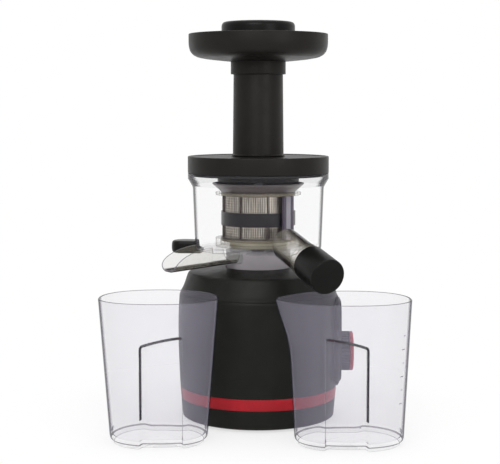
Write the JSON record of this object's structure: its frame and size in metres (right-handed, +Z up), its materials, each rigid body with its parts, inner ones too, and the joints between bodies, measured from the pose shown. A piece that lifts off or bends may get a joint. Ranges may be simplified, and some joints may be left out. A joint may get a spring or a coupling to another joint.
{
  "type": "cold press juicer",
  "caption": "Vertical slow juicer: round motor base with side knob, clear bowl with chute and capped spout, lid with feed tube, tray and pusher, and a pair of clear jugs.",
  "frame": {"origin": "on the surface that the machine stands on, under the axis of the motor base", "axes": "+Z up, -Y towards the front with the jugs, +X towards the control knob"},
  "size_m": [0.3035, 0.2458, 0.4136],
  "materials": {
    "base_black": "moulded ABS, fine satin grain, warm black",
    "lid_black": "moulded ABS, satin, black",
    "gloss_black": "moulded ABS, smooth, black",
    "red": "red moulded ABS",
    "clear": "clear copolyester, faint lavender tint",
    "smoke": "dark translucent moulding of the strainer frame",
    "violet_grey": "grey violet moulding of the brush",
    "silicone": "translucent grey silicone",
    "dark_rubber": "black rubber",
    "mesh_steel": "perforated stainless sheet",
    "steel": "turned steel",
    "zinc": "zinc plated steel",
    "die_cast": "die cast, unpainted",
    "nylon": "natural nylon",
    "auger_resin": "dark polyetherimide resin",
    "bronze": "sintered bronze",
    "copper": "enamelled copper and laminations",
    "board_green": "circuit board"
  },
  "bodies": {
    "base": {"body_shell": "base_black", "shoulder_cover": "base_black", "red_band": "red", "base_plate": "lid_black", "rubber_feet": "dark_rubber", "base_screws": "zinc", "control_panel": "base_black", "panel_screws": "zinc", "rotary_switch": "lid_black", "cord_inlet": "dark_rubber", "control_board": "board_green", "motor_can": "steel", "motor_screws": "zinc", "vibration_dampers": "dark_rubber", "gearbox_case": "die_cast", "gearbox_cover": "die_cast", "gearbox_screws": "zinc", "compound_axle": "steel", "lower_bearing": "steel", "upper_bearing": "bronze", "shaft_seal": "dark_rubber"},
    "knob": {"knob_grip": "gloss_black", "knob_face": "red", "switch_spindle": "steel"},
    "rotor": {"motor_rotor": "copper", "motor_fan": "lid_black", "motor_pinion": "steel"},
    "compound": {"compound_gear": "nylon"},
    "drive": {"output_gear": "nylon", "drive_shaft": "steel"},
    "bowl": {"juicing_bowl": "clear", "pulp_chute": "clear", "juice_spout": "clear", "neck_gasket": "silicone", "pulp_plug": "silicone", "bowl_grip": "gloss_black", "idler_pin": "steel", "strainer_frame": "smoke", "strainer_mesh": "mesh_steel"},
    "idler": {"idler_pinion": "nylon"},
    "brush": {"brush_frame": "violet_grey", "brush_wipers": "silicone", "brush_ring_gear": "nylon"},
    "auger": {"auger": "auger_resin", "auger_gear": "steel", "auger_pin": "steel"},
    "cap": {"drip_cap": "gloss_black", "drip_cap_seal": "silicone"},
    "lid": {"lid": "lid_black", "feed_tube": "lid_black", "lid_bush": "nylon", "lid_gasket": "silicone"},
    "tray": {"feed_tray": "lid_black", "tray_collar": "lid_black"},
    "pusher": {"pusher_cap": "gloss_black", "pusher_plunger": "gloss_black"},
    "pulp_jug": {"pulp_jug": "clear"},
    "juice_jug": {"juice_jug": "clear"}
  },
  "joints": [
    {"name": "knob_turn", "type": "hinge", "parent": "base", "child": "knob", "pos_m": [0.09, 0, 0.0688], "axis": [1, 0, 0], "range_deg": [-50, 50]},
    {"name": "rotor_spin", "type": "hinge", "parent": "base", "child": "rotor", "pos_m": [0, 0, 0.06], "axis": [0, 0, 1], "continuous": true},
    {"name": "compound_spin", "type": "hinge", "parent": "base", "child": "compound", "pos_m": [0, 0.033, 0.118], "axis": [0, 0, 1], "continuous": true},
    {"name": "drive_spin", "type": "hinge", "parent": "base", "child": "drive", "pos_m": [0, 0, 0.15], "axis": [0, 0, 1], "continuous": true},
    {"name": "bowl_lift", "type": "slide", "parent": "base", "child": "bowl", "axis": [0, 0, 1], "range_m": [0, 0.15]},
    {"name": "auger_spin", "type": "hinge", "parent": "bowl", "child": "auger", "pos_m": [0, 0, 0.2], "axis": [0, 0, 1], "continuous": true},
    {"name": "idler_spin", "type": "hinge", "parent": "bowl", "child": "idler", "pos_m": [0.01559, 0.009, 0.182], "axis": [0, 0, 1], "continuous": true},
    {"name": "brush_spin", "type": "hinge", "parent": "bowl", "child": "brush", "pos_m": [0, 0, 0.21], "axis": [0, 0, 1], "continuous": true},
    {"name": "cap_turn", "type": "hinge", "parent": "bowl", "child": "cap", "pos_m": [0.05917, -0.12131, 0.16732], "axis": [0.4226, -0.8665, -0.2656], "range_deg": [0, 120]},
    {"name": "lid_lift", "type": "slide", "parent": "bowl", "child": "lid", "axis": [0, 0, 1], "range_m": [0, 0.12]},
    {"name": "tray_lift", "type": "slide", "parent": "lid", "child": "tray", "axis": [0, 0, 1], "range_m": [0, 0.04]},
    {"name": "pusher_lift", "type": "slide", "parent": "tray", "child": "pusher", "axis": [0, 0, 1], "range_m": [0, 0.14]},
    {"name": "pulp_jug_slide", "type": "slide", "parent": "base", "child": "pulp_jug", "axis": [0, -1, 0], "range_m": [0, 0.15]},
    {"name": "juice_jug_slide", "type": "slide", "parent": "base", "child": "juice_jug", "axis": [0, -1, 0], "range_m": [0, 0.15]}
  ],
  "couplings": [
    {"joint": "compound_spin", "follows": "rotor_spin", "ratio": -0.25},
    {"joint": "drive_spin", "follows": "rotor_spin", "ratio": 0.055556},
    {"joint": "auger_spin", "follows": "rotor_spin", "ratio": 0.055556},
    {"joint": "idler_spin", "follows": "rotor_spin", "ratio": -0.069444},
    {"joint": "brush_spin", "follows": "rotor_spin", "ratio": -0.021368}
  ]
}
